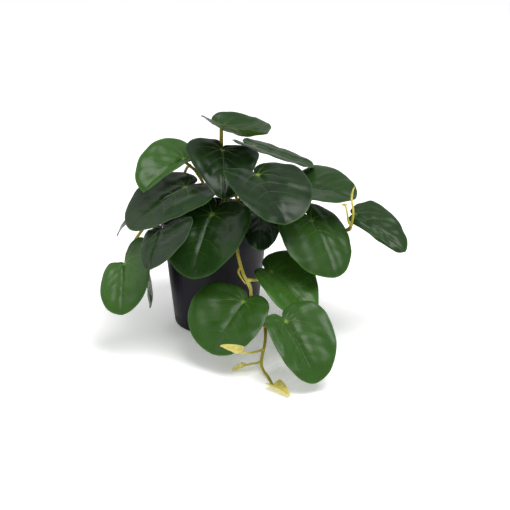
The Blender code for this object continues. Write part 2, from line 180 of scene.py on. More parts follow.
# Stems and petioles in millimetres, with the shares of a run that hold knobs, and how young the skin looks
# from 0, old, to 1
STEM_RADIUS = 1.5
PETIOLE_RADIUS = 1.25
PETIOLE_FLARE = 0.15
PETIOLE_TAPER = 0.9
PETIOLE_LEAN = 0.6
RUN_IN = 9.0
JOINT_ROOM = 0.45
JOINT_BITE = 0.1
TUBE_STEP = 1.6
TUBE_SIDES = 12
KNOB_HEIGHT = 0.35
KNOB_LENGTH = 2.2
STEM_KNOBS = (0.3, 0.5, 0.7)
PETIOLE_KNOBS = (0.05,)
STEM_VOXEL = 0.3
STEM_SMOOTHING = 6
OLD_GROWTH = 0.22
NEW_GROWTH = 0.95
YOUNG_REACH = 24.0

# Unopened leaf: its form, how much of its width the outline gives, and the share of it that is stalk
BUD_FORM = dict(fold=(24, 24), taper=(0.55, 0.55), droop=14, wave=0.0, lobe=(0.1, 0.1))
BUD_FULLNESS = 0.9
BUD_STALK = 0.08
BUD_THICK = 0.7
BUD_STEPS = 64
BUD_RINGS = tuple(i / 10 for i in range(1, 10)) + (0.97, 1.0)
BUD_QUILT = 0.25

# Patterns of the finishes in millimetres: clouds of tone, and the grain of each surface. The ribs of an
# unopened leaf are in radians to its length, and the drift is of tone. The pot's blast and the leaf's net of
# fine veins are coarser than real ones, so that they show
LEAF_CLOUD = 14.0
LEAF_GRAIN = 1.1
LEAF_NET = 1.6
STEM_CLOUD = 5.0
STEM_GRAIN = 0.6
YOUNG_CLOUD = 3.0
YOUNG_RIBS = 60.0
POT_CLOUD = 18.0
POT_BLAST = 0.5
PEAT_CLOUD = 3.0
PEAT_GRAIN = 1.2
TONE_DRIFT = 0.4

# How much of a leaf's pale marks shows
VEIN_SHOWS = 0.1
RIB_SHOWS = 0.24
SPOT_SHOWS = 0.62
MARGIN_SHOWS = 0.28

# Each leaf: where the petiole joins, where the tip is, the roll about that line, how far the left and right
# halves fold up, how far the midrib bends down, the two halves' widths, the ripple of the margin, the length
# of the lobes behind the joint, how far each half narrows toward the tip, how far the petiole's end leans
# toward the tip, and the tone of its green from 0, deep, to 1, light. Besides each leaf's own tone, it holds
# painted shade and light: leaves in the shade of others are set deeper, and leaves facing the light are set
# lighter.
LEAVES = {
    "crown": dict(base=(6, 5, 170), tip=(44, -24, 174), fold=(18, 32), droop=-40, wave=0.012,
                  lobe=(1.15, 1.15), lean=0.1, tone=0.25),
    "left_top": dict(base=(-25.6, 1, 144.5), tip=(-57, -36, 128), roll=-10, fold=(28, 25),
                     wide=(0.42, 0.88), lobe=(0.6, 1.4), tone=0.65),
    "mid_top": dict(base=(7, -5, 154), tip=(9, -48, 125), fold=(-3, 9), wide=(1, 1.03), lobe=(0.6, 1.15),
                    taper=(0.4, 0.55), tone=0.05),
    "centre": dict(base=(36, -41, 143.5), tip=(58.5, -85, 116.5), roll=2, fold=(4, 16), wide=(1.08, 0.98),
                   lobe=(0.9, 0.6), taper=(-0.1, -0.2), tone=0.05),
    "right_top": dict(base=(33, 36, 146), tip=(84, 19, 133), roll=-2, fold=(1, 14), droop=-4,
                      wide=(0.72, 0.84), lobe=(0.8, 1.1), tone=0.2),
    "right_mid": dict(base=(70, 0, 120), tip=(117, -25, 119), roll=8, fold=(12, 10), wide=(1.15, 1.15),
                      lobe=(0.85, 0.85), taper=(0.35, 0), tone=0.25),
    "right_low": dict(base=(81, -30, 101), tip=(99, -69, 66), roll=-8, fold=(4, 0), wide=(0.79, 1),
                      lobe=(1.4, 0.8), taper=(0, -0.35), tone=0.45),
    "far_right": dict(base=(116.7, -21, 103.4), tip=(156, -52, 81.5), roll=10, fold=(6, -6),
                      wide=(0.8, 0.28), lobe=(0.5, 0.1), taper=(0.25, -0.3), tone=0.2),
    "low_left": dict(base=(-73, -49, 70), tip=(-73, -85, 40), roll=6, fold=(22, 4), wide=(0.84, 0.5),
                     lobe=(2.2, 0.15), taper=(-0.3, -0.8), tone=0.75),
    "left_back": dict(base=(-24, -15, 125), tip=(-68, -46, 99), roll=-4, fold=(6, 6), wide=(1.15, 0.93),
                      tone=0.12),
    "left_front": dict(base=(-42, -59, 102), tip=(-48, -107, 87), fold=(28, -8), wide=(1, 0.4),
                       taper=(-0.3, 0), tone=0.05),
    "front": dict(base=(-1, -42, 110), tip=(-16, -80, 69), wide=(1.05, 1), lobe=(1, 1.25), tone=0.2),
    "low_mid": dict(base=(25, -80, 49), tip=(0, -110, 17), roll=-12, fold=(8, 8), wide=(0.83, 1.18),
                    lobe=(0.75, 0.75), taper=(-0.4, -0.2), tone=0.55),
    "low_right": dict(base=(47, -55, 65), tip=(80, -86, 39), roll=12, fold=(8, 13), wide=(1.13, 0.55),
                      lobe=(1.14, 0.65), taper=(0.42, -1), tone=0.85),
    "lowest": dict(base=(58, -111, 45), tip=(81, -146, 9), roll=8, fold=(20, 17), wide=(0.94, 0.62),
                   lobe=(0.75, 0.6), taper=(0, -0.3), tone=0.6),
    "under": dict(base=(39, -32, 107), tip=(38, -80, 93), fold=(-14, 2), wide=(0.54, 0.52), tone=0),
    "hanging_left": dict(base=(-62, -8, 56), tip=(-55, -18, 18), roll=-58, droop=5, wide=(0.9, 0.9),
                         tone=0.5),
    "edge_left": dict(base=(-52, 6, 106), tip=(-84, 0, 77), roll=8, wide=(0.85, 0.85), tone=0.3),
    "back_left": dict(base=(-40, 44, 106), tip=(-66, 68, 83), tone=0.4),
    "back_upper": dict(base=(20, 47, 112), tip=(26, 83, 93), wide=(0.85, 0.85), tone=0.3),
    "back_right": dict(base=(60, 35, 109), tip=(94, 54, 93), wide=(0.85, 0.85), tone=0.5),
    "back_mid": dict(base=(40, 52, 82), tip=(64, 72, 52), tone=0.4),
    "back_low": dict(base=(8, 66, 60), tip=(-2, 80, 20), tone=0.7),
    "back_side": dict(base=(-16, 58, 90), tip=(-36, 80, 60), tone=0.5),
    "back_under": dict(base=(70, 14, 92), tip=(100, 34, 60), wide=(0.8, 0.8), tone=0.6),
}

# Each stem: where it stands in the soil, how many times thicker than the others it is, the points of its
# main run, the leaf at the end of the run, then its petioles as (leaf, points from the run), its bare shoots
# as (points, radius at the root, radius at the tip), and its small unopened leaves as (root, tip, width,
# roll)
STEMS = {
    "stem_crown": dict(
        root=(7, 5),
        girth=1.3,
        run=((7, 6, 122), (6, 6, 145)),
        run_leaf="crown",
        petioles=(("right_top", ((7, 5.5, 114), (14, 15, 126), (22, 26, 137))),)),
    "stem_centre": dict(
        root=(12, -6),
        run=((11, -5, 120), (9, -2, 138)),
        run_leaf="mid_top",
        petioles=(("centre", ((11.5, -5.5, 114), (27, -17, 121), (37, -28, 128), (38.5, -35, 136))),)),
    "stem_upper_left": dict(
        root=(-5, 2),
        run=((-6, 1, 114), (-10, 0, 125), (-15, 0, 134), (-21, 2, 139)),
        run_leaf="left_top",
        petioles=(("left_back", ((-8.5, 0.4, 121), (-13, -4, 117))),
                  ("back_left", ((-20, 1.7, 138.5), (-22, 9, 136.5), (-25, 18, 130), (-29, 25, 117),
                                 (-32, 31, 103))))),
    "stem_left": dict(
        root=(-14, -6),
        run=((-19, -8, 112), (-30, -13, 111), (-42, -18, 105), (-52, -19, 99), (-60, -18, 89),
             (-68, -14, 76), (-72, -11, 62), (-71, -8, 50)),
        run_leaf="hanging_left",
        petioles=(("left_front", ((-44, -18.3, 104), (-46, -31, 99), (-43, -45, 93))),
                  ("low_left", ((-71.5, -11.5, 65), (-75, -22, 60), (-75, -33, 60))),
                  ("edge_left", ((-48, -18.6, 101.6), (-47, -10, 102), (-47, 0, 102))))),
    "stem_front": dict(
        root=(14, -18),
        run=((16, -25, 111), (18, -36, 110), (19, -47, 104), (19, -54, 92), (20, -56, 82), (22, -57, 73),
             (25, -59, 64), (30, -63, 55), (31, -66, 48), (35, -69, 38), (40, -73, 30), (42.5, -79, 24),
             (42, -89, 17), (40, -98, 11), (39, -106, 6.5), (41, -113, 3.4), (44, -120, 2.2),
             (46.5, -130, 1.9), (47.2, -135, 1.9)),
        petioles=(("front", ((16, -25, 111), (9, -31, 109), (3, -35, 105))),
                  ("low_right", ((27, -60.6, 60.4), (35, -59, 60), (41, -56, 60))),
                  ("low_mid", ((31, -66, 48), (31, -71, 45.5))),
                  ("lowest", ((41.5, -76, 26.8), (46, -87, 31), (51, -99, 35)))),
        shoots=((((22.6, -57.5, 71), (20.5, -60, 67.5), (23.5, -62.5, 62), (26.5, -63.5, 58)), 1.1, 0.5),
                (((41, -94, 13.8), (36, -103, 16), (29, -114, 19.6), (23.5, -120.4, 22.8)), 1.1, 0.8),
                (((39.3, -103.6, 8), (35, -104.5, 6.6), (30.8, -104.9, 6), (24.5, -107.2, 4.8)), 1.1, 0.8),
                (((28, -105.5, 5.4), (22.4, -106, 8)), 0.8, 0.4)),
        buds=(((24, -120, 22.6), (7, -131, 33.7), 9.5, 55),
              ((25, -107, 4.9), (15, -109.7, 2.2), 6.5, 65),
              ((46.8, -133, 2), (60.3, -154.5, 1.9), 12.5, 0))),
    "stem_right": dict(
        root=(18, 2),
        run=((24, 0, 112), (36, -3, 114), (48, -6, 113), (60, -9, 110), (74, -13, 106), (88, -16, 99),
             (100, -19, 91.5), (108.6, -20, 87.5)),
        petioles=(("right_mid", ((60, -9, 110), (64, -6, 114))),
                  ("right_low", ((72, -12.4, 106.6), (74, -19, 102))),
                  ("under", ((36, -3, 114), (37, -12, 109), (38, -22, 102.5))),
                  ("far_right", ((107, -19.8, 88.4), (111.5, -21, 90.5), (114.5, -22, 95))),
                  ("back_under", ((60, -9, 110), (58, -3, 100), (61, 3, 90)))),
        shoots=((((107, -19.8, 88.4), (112.5, -27, 92), (113, -36, 99), (114, -41, 111), (112.3, -41, 124)),
                 1.2, 0.9),
                (((113, -35, 98), (110.2, -39.5, 104), (108.9, -42, 112), (107.2, -42, 119)), 1.1, 0.7)),
        buds=(((112.6, -41, 122), (114.5, -41, 134), 4.5, 0),
              ((108, -42, 117.5), (104.2, -42, 119.5), 3.5, 60))),
    "stem_back": dict(
        root=(6, 18),
        run=((8, 24, 110), (12, 34, 109), (15, 43, 105), (17, 50, 98), (18, 53, 86), (16, 53, 74),
             (12, 52, 64)),
        run_leaf="back_low",
        petioles=(("back_upper", ((13, 37, 108), (17, 41, 106))),
                  ("back_right", ((12, 34, 109), (24, 32, 109), (38, 28, 106), (48, 25, 107))),
                  ("back_mid", ((18, 53, 88), (25, 51, 81), (32, 48, 77))),
                  ("back_side", ((16, 46, 103), (6, 50, 97), (-4, 51, 88))))),
}


def linear(hex_colour):
    """A six-digit sRGB hex colour as linear red, green, blue and alpha."""
    channels = []
    for i in (0, 2, 4):
        value = int(hex_colour[i:i + 2], 16) / 255
        channels.append(value / 12.92 if value <= 0.04045 else ((value + 0.055) / 1.055) ** 2.4)
    return (*channels, 1.0)


def per(size):
    """How many of a pattern's features fit in a metre, from the size of one in millimetres."""
    return 1 / (size * MM)


def add(tree, kind, settings=None, links=None):
    """A node with its settings, and its inputs set to values or linked to sockets or to nodes' first
    outputs. A colour ramp's setting "stops" holds its (place, hex colour) rows."""
    node = tree.nodes.new(kind)
    for key, value in (settings or {}).items():
        if key != "stops":
            setattr(node, key, value)
            continue
        band = node.color_ramp.elements
        while len(band) < len(value):
            band.new(0.5)
        for element, (place, colour) in zip(band, value):
            element.position = place
            element.color = linear(colour)
    for key, value in (links or {}).items():
        if isinstance(value, bpy.types.Node):
            value = value.outputs[0]
        if isinstance(value, bpy.types.NodeSocket):
            tree.links.new(value, node.inputs[key])
        else:
            node.inputs[key].default_value = value
    return node


def new_material(name):
    """An empty node tree, the shader that feeds its output, and the place on the piece in metres."""
    made = bpy.data.materials.new(name)
    made.use_nodes = True
    tree = made.node_tree
    tree.nodes.clear()
    shader = add(tree, "ShaderNodeBsdfPrincipled")
    add(tree, "ShaderNodeOutputMaterial", links={"Surface": shader})
    return made, tree, shader, add(tree, "ShaderNodeTexCoord").outputs["Object"]


def leaf_maps(tree):
    """Masks of the blade's own pattern: midrib, side veins, the joint's spot and the margin, each 1 on the
    feature and 0 off it."""
    flat = add(tree, "ShaderNodeAttribute", {"attribute_name": "leaf_flat"}).outputs["Vector"]
    parts = add(tree, "ShaderNodeSeparateXYZ", links={0: flat}).outputs
    x = parts["X"]
    share = parts["Z"]
    y = add(tree, "ShaderNodeMath", {"operation": "ABSOLUTE"}, {0: parts["Y"]})
    y_mm = add(tree, "ShaderNodeMath", {"operation": "MULTIPLY"}, {0: y, 1: LEAF_MM})
    y_squared = add(tree, "ShaderNodeMath", {"operation": "MULTIPLY"}, {0: y, 1: y})
    square = add(tree, "ShaderNodeMath", {"operation": "MULTIPLY_ADD"}, {0: x, 1: x, 2: y_squared})
    radius = add(tree, "ShaderNodeMath", {"operation": "SQRT"}, {0: square})
    radius_mm = add(tree, "ShaderNodeMath", {"operation": "MULTIPLY"}, {0: radius, 1: LEAF_MM})
    angle = add(tree, "ShaderNodeMath", {"operation": "ARCTAN2"}, {0: y, 1: x})

    lean = add(tree, "ShaderNodeMath", {"operation": "MULTIPLY_ADD"}, {0: y, 1: -VEIN_LEAN, 2: x})
    ahead = add(tree, "ShaderNodeMath", {"operation": "MULTIPLY_ADD"},
                {0: y_squared, 1: -VEIN_CURVE, 2: lean})
    side = add(tree, "ShaderNodeMath", {"operation": "PINGPONG"}, {0: ahead, 1: SIDE_VEIN_GAP / 2})
    side_mm = add(tree, "ShaderNodeMath", {"operation": "MULTIPLY"}, {0: side, 1: LEAF_MM})
    turn = add(tree, "ShaderNodeMath", {"operation": "MULTIPLY_ADD"}, {0: radius, 1: SPOKE_BEND, 2: angle})
    spoke = add(tree, "ShaderNodeMath", {"operation": "PINGPONG"}, {0: turn, 1: SPOKE_GAP / 2})
    spoke_mm = add(tree, "ShaderNodeMath", {"operation": "MULTIPLY"}, {0: spoke, 1: radius_mm})

    # Each mask with its source, the value where it is 1 and the value where it is 0
    masks = {}
    for name, source, on, off in (("rear", angle, REAR[1], REAR[0]), ("side", side_mm, 0.1, 0.45),
                                  ("spoke", spoke_mm, 0.1, 0.45), ("rib", y_mm, 0.2, 0.6),
                                  ("front", x, 0.01, -0.01), ("pale", radius_mm, 2.5, 15.0),
                                  ("spot", radius_mm, 0.6, 3.0), ("margin", share, 0.99, 0.965),
                                  ("inner", share, 0.5, 0.9)):
        masks[name] = add(tree, "ShaderNodeMapRange", {"interpolation_type": "SMOOTHSTEP"},
                          {"Value": source, "From Min": off, "From Max": on})
    either = add(tree, "ShaderNodeMix", links={0: masks["rear"], 2: masks["side"], 3: masks["spoke"]})
    masks["vein"] = add(tree, "ShaderNodeMath", {"operation": "MULTIPLY"}, {0: either, 1: masks["inner"]})
    masks["midrib"] = add(tree, "ShaderNodeMath", {"operation": "MULTIPLY"},
                          {0: masks["rib"], 1: masks["front"]})
    return masks


def leaf_skin(name, deep, light, vein, rim, roughness, gloss):
    """Waxy leaf skin. Its wax gives broad soft reflections, and its veins sit in shallow grooves that are
    palest near the petiole's joint."""
    made, tree, shader, place = new_material(name)
    maps = leaf_maps(tree)
    # Painted shade and light: the leaf's tone deepens the green of leaves that lie in other leaves' shade
    # and lightens those facing the light, on top of its own tone.
    tone = add(tree, "ShaderNodeAttribute", {"attribute_name": "tone"}).outputs["Fac"]
    cloud = add(tree, "ShaderNodeTexNoise", links={"Vector": place, "Scale": per(LEAF_CLOUD), "Detail": 3.0})
    speck = add(tree, "ShaderNodeTexNoise", links={"Vector": place, "Scale": per(LEAF_GRAIN), "Detail": 2.0})
    drift = add(tree, "ShaderNodeMath", {"operation": "MULTIPLY_ADD"},
                {0: cloud, 1: TONE_DRIFT, 2: -TONE_DRIFT / 2})
    shade = add(tree, "ShaderNodeMath", {"operation": "ADD", "use_clamp": True}, {0: drift, 1: tone})
    green = add(tree, "ShaderNodeValToRGB", {"stops": ((0.0, deep), (1.0, light))}, {"Fac": shade})
    grain = add(tree, "ShaderNodeMapRange", links={"Value": speck, "From Min": 0.35, "From Max": 0.65,
                                                 "To Min": 0.92, "To Max": 1.06})
    colour = add(tree, "ShaderNodeMix", {"data_type": "RGBA", "blend_type": "MULTIPLY"},
                 {0: 1.0, 6: green, 7: grain}).outputs[2]
    ribs = add(tree, "ShaderNodeMath", {"operation": "MAXIMUM"}, {0: maps["midrib"], 1: maps["vein"]})
    pale = add(tree, "ShaderNodeMath", {"operation": "MULTIPLY"}, {0: ribs, 1: maps["pale"]})
    for mask, amount, paint in ((maps["vein"], VEIN_SHOWS, vein), (pale, RIB_SHOWS, vein),
                                (maps["spot"], SPOT_SHOWS, vein), (maps["margin"], MARGIN_SHOWS, rim)):
        share = add(tree, "ShaderNodeMath", {"operation": "MULTIPLY"}, {0: mask, 1: amount})
        colour = add(tree, "ShaderNodeMix", {"data_type": "RGBA"},
                     {0: share, 6: colour, 7: linear(paint)}).outputs[2]
    tree.links.new(colour, shader.inputs["Base Color"])

    cells = add(tree, "ShaderNodeTexVoronoi", {"feature": "DISTANCE_TO_EDGE"},
                {"Vector": place, "Scale": per(LEAF_NET)})
    net = add(tree, "ShaderNodeMapRange", links={"Value": cells, "From Max": 0.12, "To Max": 0.2})
    relief = add(tree, "ShaderNodeMath", {"operation": "MULTIPLY_ADD"}, {0: ribs, 1: -1.0, 2: net})
    relief = add(tree, "ShaderNodeMath", {"operation": "MULTIPLY_ADD"}, {0: speck, 1: 0.25, 2: relief})
    bump = add(tree, "ShaderNodeBump", links={"Height": relief, "Strength": 0.5, "Distance": 0.15 * MM})
    tree.links.new(bump.outputs[0], shader.inputs["Normal"])
    rough = add(tree, "ShaderNodeMapRange", links={"Value": cloud, "From Min": 0.3, "From Max": 0.7,
                                                 "To Min": roughness - 0.05, "To Max": roughness + 0.05})
    tree.links.new(rough.outputs[0], shader.inputs["Roughness"])
    shader.inputs["IOR"].default_value = 1.45
    shader.inputs["Specular IOR Level"].default_value = gloss
    return made


def stem_skin():
    """Fleshy stem skin: it shines softly, olive on old growth and straw yellow on new, with faint
    clouds."""
    made, tree, shader, place = new_material("pothos_stem_skin")
    young = add(tree, "ShaderNodeAttribute", {"attribute_name": "young"}).outputs["Fac"]
    cloud = add(tree, "ShaderNodeTexNoise", links={"Vector": place, "Scale": per(STEM_CLOUD), "Detail": 4.0})
    fine = add(tree, "ShaderNodeTexNoise", links={"Vector": place, "Scale": per(STEM_GRAIN), "Detail": 2.0})
    drift = add(tree, "ShaderNodeMath", {"operation": "MULTIPLY_ADD"},
                {0: cloud, 1: TONE_DRIFT, 2: -TONE_DRIFT / 2})
    shade = add(tree, "ShaderNodeMath", {"operation": "ADD", "use_clamp": True}, {0: drift, 1: young})
    stops = ((0.0, "5c5212"), (0.35, "968a22"), (0.75, "b9ad34"), (1.0, "d8cd6a"))
    colour = add(tree, "ShaderNodeValToRGB", {"stops": stops}, {"Fac": shade})
    tree.links.new(colour.outputs[0], shader.inputs["Base Color"])
    bump = add(tree, "ShaderNodeBump", links={"Height": fine, "Strength": 0.3, "Distance": 0.1 * MM})
    tree.links.new(bump.outputs[0], shader.inputs["Normal"])
    shader.inputs["Roughness"].default_value = 0.45
    shader.inputs["Specular IOR Level"].default_value = 0.3
    shader.inputs["Subsurface Weight"].default_value = 0.15
    shader.inputs["Subsurface Radius"].default_value = (0.8, 0.7, 0.2)
    shader.inputs["Subsurface Scale"].default_value = 1 * MM
    return made


def young_leaf_skin():
    """Unopened leaf: thin, silky and pale yellow, a little translucent, with ribs along it."""
    made, tree, shader, place = new_material("young_leaf_skin")
    flat = add(tree, "ShaderNodeAttribute", {"attribute_name": "leaf_flat"}).outputs["Vector"]
    across = add(tree, "ShaderNodeSeparateXYZ", links={0: flat}).outputs["Y"]
    cloud = add(tree, "ShaderNodeTexNoise",
                links={"Vector": place, "Scale": per(YOUNG_CLOUD), "Detail": 4.0})
    stops = ((0.3, "bdb048"), (0.55, "d3c76c"), (0.8, "dfd58c"))
    colour = add(tree, "ShaderNodeValToRGB", {"stops": stops}, {"Fac": cloud})
    tree.links.new(colour.outputs[0], shader.inputs["Base Color"])
    turn = add(tree, "ShaderNodeMath", {"operation": "MULTIPLY"}, {0: across, 1: YOUNG_RIBS})
    rib = add(tree, "ShaderNodeMath", {"operation": "SINE"}, {0: turn})
    bump = add(tree, "ShaderNodeBump", links={"Height": rib, "Strength": 0.25, "Distance": 0.12 * MM})
    tree.links.new(bump.outputs[0], shader.inputs["Normal"])
    shader.inputs["Roughness"].default_value = 0.45
    shader.inputs["Subsurface Weight"].default_value = 0.3
    shader.inputs["Subsurface Radius"].default_value = (1.0, 0.9, 0.3)
    shader.inputs["Subsurface Scale"].default_value = 1.5 * MM
    return made


def pot_plastic():
    """Injection-moulded polypropylene: near black with a faint purple cast, and satin from the mould's fine
    sandblast texture."""
    made, tree, shader, place = new_material("moulded_polypropylene")
    blast = add(tree, "ShaderNodeTexNoise", links={"Vector": place, "Scale": per(POT_BLAST), "Detail": 3.0})
    cloud = add(tree, "ShaderNodeTexNoise", links={"Vector": place, "Scale": per(POT_CLOUD), "Detail": 5.0})
    stops = ((0.35, "0c0b14"), (0.7, "13111e"))
    colour = add(tree, "ShaderNodeValToRGB", {"stops": stops}, {"Fac": cloud})
    tree.links.new(colour.outputs[0], shader.inputs["Base Color"])
    rough = add(tree, "ShaderNodeMapRange", links={"Value": cloud, "From Min": 0.3, "From Max": 0.7,
                                                 "To Min": 0.44, "To Max": 0.56})
    tree.links.new(rough.outputs[0], shader.inputs["Roughness"])
    bump = add(tree, "ShaderNodeBump", links={"Height": blast, "Strength": 0.2, "Distance": 0.08 * MM})
    tree.links.new(bump.outputs[0], shader.inputs["Normal"])
    shader.inputs["IOR"].default_value = 1.49
    shader.inputs["Specular IOR Level"].default_value = 0.2
    return made


def peat(name, dark, light):
    """Peat potting mix: dark brown and fully matte, broken into crumbs."""
    made, tree, shader, place = new_material(name)
    cloud = add(tree, "ShaderNodeTexNoise", links={"Vector": place, "Scale": per(PEAT_CLOUD), "Detail": 6.0})
    grain = add(tree, "ShaderNodeTexVoronoi", links={"Vector": place, "Scale": per(PEAT_GRAIN)})
    stops = ((0.35, dark), (0.75, light))
    colour = add(tree, "ShaderNodeValToRGB", {"stops": stops}, {"Fac": cloud})
    tree.links.new(colour.outputs[0], shader.inputs["Base Color"])
    bump = add(tree, "ShaderNodeBump", links={"Height": grain, "Strength": 0.8, "Distance": 0.5 * MM})
    tree.links.new(bump.outputs[0], shader.inputs["Normal"])
    shader.inputs["Roughness"].default_value = 0.95
    shader.inputs["Specular IOR Level"].default_value = 0.2
    return made


def mesh_object(name, points, faces, materials):
    """A smooth-shaded object from points in millimetres."""
    mesh = bpy.data.meshes.new(name)
    mesh.from_pydata([tuple(point) for point in np.asarray(points, dtype=float) * MM], [], faces)
    mesh.update()
    for finish in materials:
        mesh.materials.append(finish)
    mesh.shade_smooth()
    thing = bpy.data.objects.new(name, mesh)
    bpy.context.scene.collection.objects.link(thing)
    return thing


def dress(thing, slot, *nodes):
    """The piece rides on the part's one body and stands for the nodes; slot is not used."""
    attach(thing, BODY)
    if nodes:
        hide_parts(*nodes)


def keep_evaluated(thing):
    """Turn the piece's modifiers into its own mesh."""
    graph = bpy.context.evaluated_depsgraph_get()
    mesh = bpy.data.meshes.new_from_object(thing.evaluated_get(graph))
    thing.modifiers.clear()
    thing.data = mesh


def smoothstep(low, high, value):
    """0 below low, 1 above high, and an even curve between."""
    t = np.clip((value - low) / (high - low), 0.0, 1.0)
    return t * t * (3 - 2 * t)


def outline_radius(angles):
    """The leaf's edge at angles in degrees from the tip, by a cubic through OUTLINE."""
    knots = [(-a, r) for a, r in OUTLINE[2:0:-1]] + list(OUTLINE)
    knots += [(360 - a, r) for a, r in OUTLINE[-2:-4:-1]]
    place = np.array([knot[0] for knot in knots], dtype=float)
    radius = np.array([knot[1] for knot in knots])
    gaps = np.diff(place)
    rises = np.diff(radius) / gaps
    slopes = np.zeros(len(knots))
    slopes[1:-1] = (rises[:-1] * gaps[1:] + rises[1:] * gaps[:-1]) / (gaps[:-1] + gaps[1:])
    at = np.abs((angles + 180) % 360 - 180)
    i = np.clip(np.searchsorted(place, at, side="right") - 1, 1, len(knots) - 3)
    step = gaps[i]
    t = (at - place[i]) / step
    return ((2 * t ** 3 - 3 * t ** 2 + 1) * radius[i] + (t ** 3 - 2 * t ** 2 + t) * slopes[i] * step
            + (3 * t ** 2 - 2 * t ** 3) * radius[i + 1] + (t ** 3 - t ** 2) * slopes[i + 1] * step)


def bend(x, y, leaf, relief=0.0):
    """Flat leaf shares on the folded, rippled and drooping blade, raised by relief off its face."""
    left = y >= 0
    lobe = leaf.get("lobe", (1, 1))
    wide = leaf.get("wide", (1, 1))
    taper = leaf.get("taper", (0, 0))
    turn = leaf.get("fold", (8, 8))
    x = np.where(x < 0, x * np.where(left, lobe[0], lobe[1]), x)
    across = np.abs(y) * np.where(left, wide[0], wide[1])
    across = across * (1 - np.where(left, taper[0], taper[1]) * np.maximum(x, 0))
    fold = np.radians(np.where(left, turn[0], turn[1])) * across / np.hypot(across, CREASE)
    out = across * np.cos(fold)
    up = across * np.sin(fold) + relief
    up = up + leaf.get("wave", WAVE) * (x * x + y * y) * np.sin(WAVES * np.arctan2(y, x))
    droop = math.radians(leaf.get("droop", DROOP))
    along = np.sin(droop * x) / droop + up * np.sin(droop * x)
    high = (np.cos(droop * x) - 1) / droop + up * np.cos(droop * x)
    return along, np.where(left, out, -out), high


def leaf_axes(leaf):
    """The petiole's joint, the length, and the unit lines to the tip, to the left and out of the face."""
    base = Vector(leaf["base"])
    ahead = Vector(leaf["tip"]) - base
    length = ahead.length
    ahead.normalize()
    face = Vector((0, 0, 1))
    face = (face - face.dot(ahead) * ahead).normalized()
    roll = math.radians(leaf.get("roll", 0))
    face = face * math.cos(roll) + ahead.cross(face) * math.sin(roll)
    return base, length, ahead, face.cross(ahead), face


def quilting(x, y, share, length, chance):
    """Relief in millimetres: a sunken midrib with soft shoulders, pillows between the side veins, and
    low swells that differ from leaf to leaf."""
    across = np.abs(y)
    across_mm = across * length
    radius = np.hypot(x, y)
    angle = np.arctan2(across, x)
    shoulder = SHOULDER_HEIGHT * np.exp(-((across_mm - SHOULDER_PLACE) / SHOULDER_WIDTH) ** 2)
    groove = GROOVE_DEPTH * np.exp(-(across_mm / GROOVE_WIDTH) ** 2)
    relief = smoothstep(*RIB_FADE, x) * (1 - 0.5 * np.clip(x, 0, 1)) * (shoulder - groove)
    inside = smoothstep(*PILLOW_FADE, across_mm) * (1 - smoothstep(*PILLOW_END, share))
    rear = smoothstep(*REAR, angle)
    side = (x - VEIN_LEAN * across - VEIN_CURVE * across ** 2) / SIDE_VEIN_GAP
    spoke = (angle + SPOKE_BEND * radius) / SPOKE_GAP
    side_pillow = np.sin(np.pi * side) ** 2
    spoke_pillow = np.sin(np.pi * spoke) ** 2 * smoothstep(*SPOKE_FADE, radius * length)
    relief = relief + inside * PILLOW * ((1 - rear) * side_pillow + rear * spoke_pillow)
    for size, height in SWELLS:
        wave = 2 * np.pi * length / size
        drift = chance.uniform(0, 2 * np.pi, 2)
        heading = chance.uniform(0, np.pi)
        first = wave * (x * math.cos(heading) + y * math.sin(heading)) + drift[0]
        second = wave * (y * math.cos(heading) - x * math.sin(heading)) + drift[1]
        relief = relief + height * np.sin(first) * np.sin(second) * smoothstep(*SWELL_FADE, radius)
    return relief - EDGE_DIP * smoothstep(*EDGE_FADE, share) ** 2


def blade_faces(steps, rings):
    """Quads of one side: a fan at the joint, then rings out to the edge. Point 0 is the joint."""
    faces = []
    for j in range(steps):
        k = (j + 1) % steps
        faces.append((0, 1 + j, 1 + k))
        for ring in range(1, rings):
            inner = 1 + (ring - 1) * steps
            outer = inner + steps
            faces.append((inner + j, outer + j, outer + k, inner + k))
    return faces


def point_normals(points, faces):
    """The face's direction at each point, from the triangle of each face's first three corners."""
    normals = np.zeros_like(points)
    corners = np.array([face[:3] for face in faces])
    first = points[corners[:, 0]]
    cross = np.cross(points[corners[:, 1]] - first, points[corners[:, 2]] - first)
    for column in range(3):
        np.add.at(normals, corners[:, column], cross)
    return normals / np.maximum(np.linalg.norm(normals, axis=1, keepdims=True), 1e-12)


